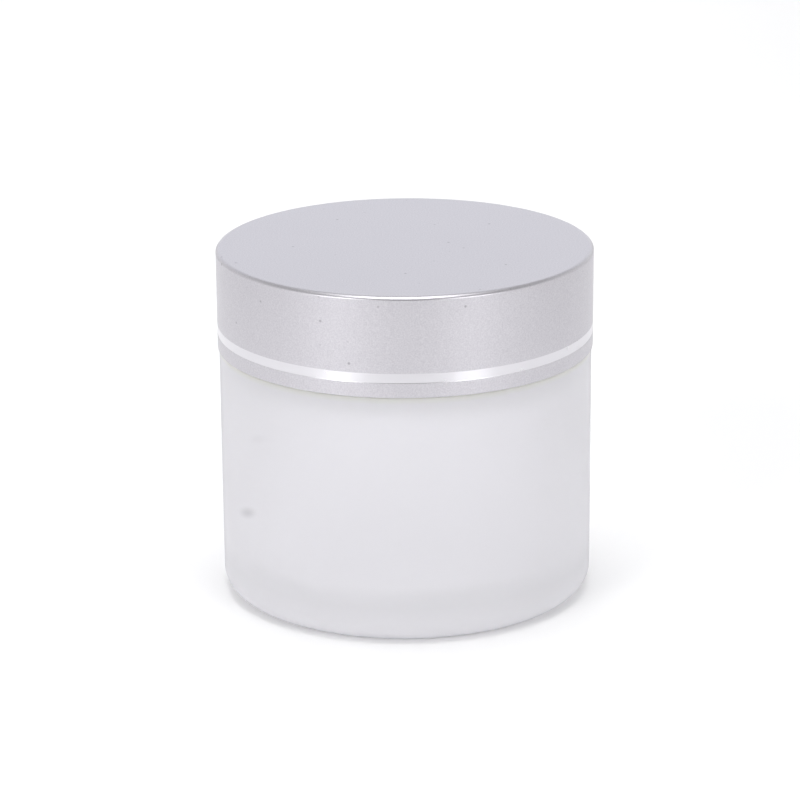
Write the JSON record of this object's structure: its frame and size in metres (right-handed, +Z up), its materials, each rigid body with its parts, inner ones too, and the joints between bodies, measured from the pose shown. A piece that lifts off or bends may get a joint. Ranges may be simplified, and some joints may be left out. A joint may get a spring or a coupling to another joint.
{
  "type": "cosmetic cream jar",
  "caption": "Short round frosted glass cream jar with a flat satin aluminium screw lid, bright line, plastic thread liner, foam wad and inner sealing disc.",
  "frame": {"origin": "centre of the foot, on the surface that the jar stands on", "axes": "+Z up along the jar's axis; the jar is round, so +X and +Y are free, and the neck thread starts at +X"},
  "size_m": [0.07, 0.07, 0.0658],
  "materials": {
    "frosted_glass": "matte",
    "satin_aluminium": "satin",
    "white_polypropylene": "satin",
    "white_foam": "matte",
    "white_polyethylene": "satin"
  },
  "bodies": {
    "jar": {"glass_jar": "frosted_glass"},
    "wad": {"sealing_wad": "white_foam"},
    "lid": {"lid_shell": "satin_aluminium", "lid_liner": "white_polypropylene"},
    "disc": {"inner_disc": "white_polyethylene"}
  },
  "joints": [
    {"name": "lid_rise", "type": "slide", "parent": "jar", "child": "wad", "axis": [0, 0, 1], "range_m": [0, 0.0254]},
    {"name": "lid_turn", "type": "hinge", "parent": "wad", "child": "lid", "pos_m": [0, 0, 0.0472], "axis": [0, 0, 1], "range_deg": [0, 2160]},
    {"name": "disc_lift", "type": "slide", "parent": "jar", "child": "disc", "axis": [0, 0, 1], "range_m": [0, 0.01017]}
  ],
  "couplings": [
    {"joint": "lid_rise", "follows": "lid_turn", "m_per_rad": 0.00067375},
    {"joint": "disc_lift", "follows": "lid_turn", "m_per_rad": 0.0002695}
  ]
}
